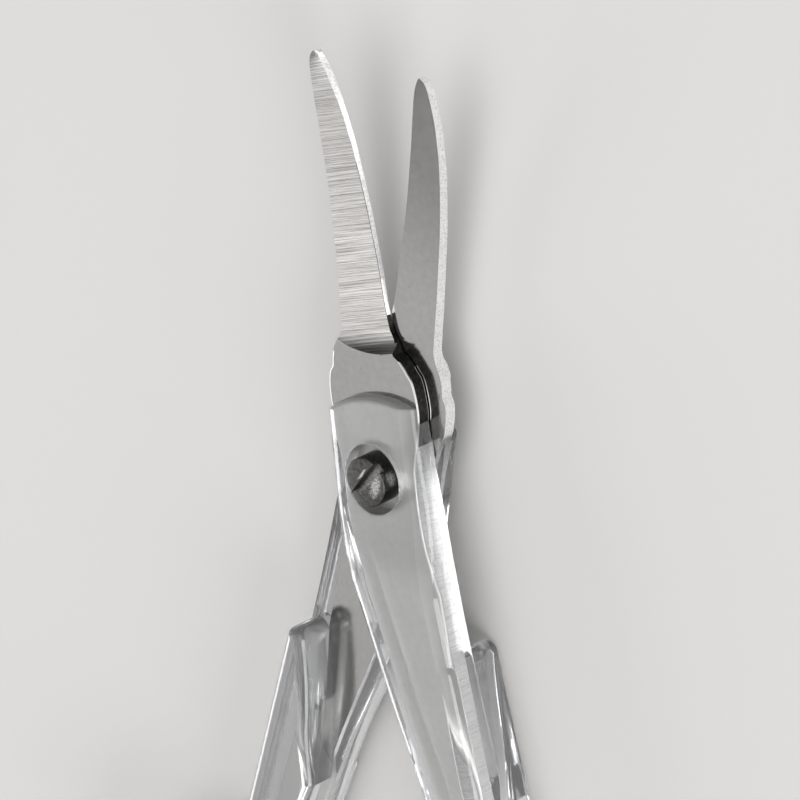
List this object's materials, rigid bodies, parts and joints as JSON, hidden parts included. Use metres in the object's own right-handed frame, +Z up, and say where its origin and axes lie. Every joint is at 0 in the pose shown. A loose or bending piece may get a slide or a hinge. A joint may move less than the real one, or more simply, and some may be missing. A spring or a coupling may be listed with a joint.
{
  "type": "eyebrow scissors",
  "caption": "Small eyebrow scissors with upcurved steel blades, clear plastic handles with finger rings and a slotted pivot screw, lying slightly open.",
  "frame": {"origin": "under the middle of the whole object, on the plane it lies on, with the levers opened as in the picture", "axes": "+Y towards the blade tips, +Z up out of the front face (the side of the screw head), +X towards the front lever's finger ring"},
  "size_m": [0.0622, 0.1016, 0.0066],
  "materials": {
    "front_blade": "ground across the blade, polished ricasso",
    "rear_blade": "polished inner face, ground outer face",
    "front_handle": "clear, high gloss",
    "rear_handle": "clear, high gloss",
    "pivot_screw": "dark, turned"
  },
  "bodies": {
    "rear_lever": {"rear_blade": "rear_blade", "rear_handle": "rear_handle", "pivot_screw": "pivot_screw"},
    "front_lever": {"front_blade": "front_blade", "front_handle": "front_handle"}
  },
  "joints": [
    {"name": "lever_pivot", "type": "hinge", "parent": "rear_lever", "child": "front_lever", "pos_m": [0, 0.01532, 0.0033], "axis": [0, 0, 1], "range_deg": [-16.2, 73.8]}
  ]
}
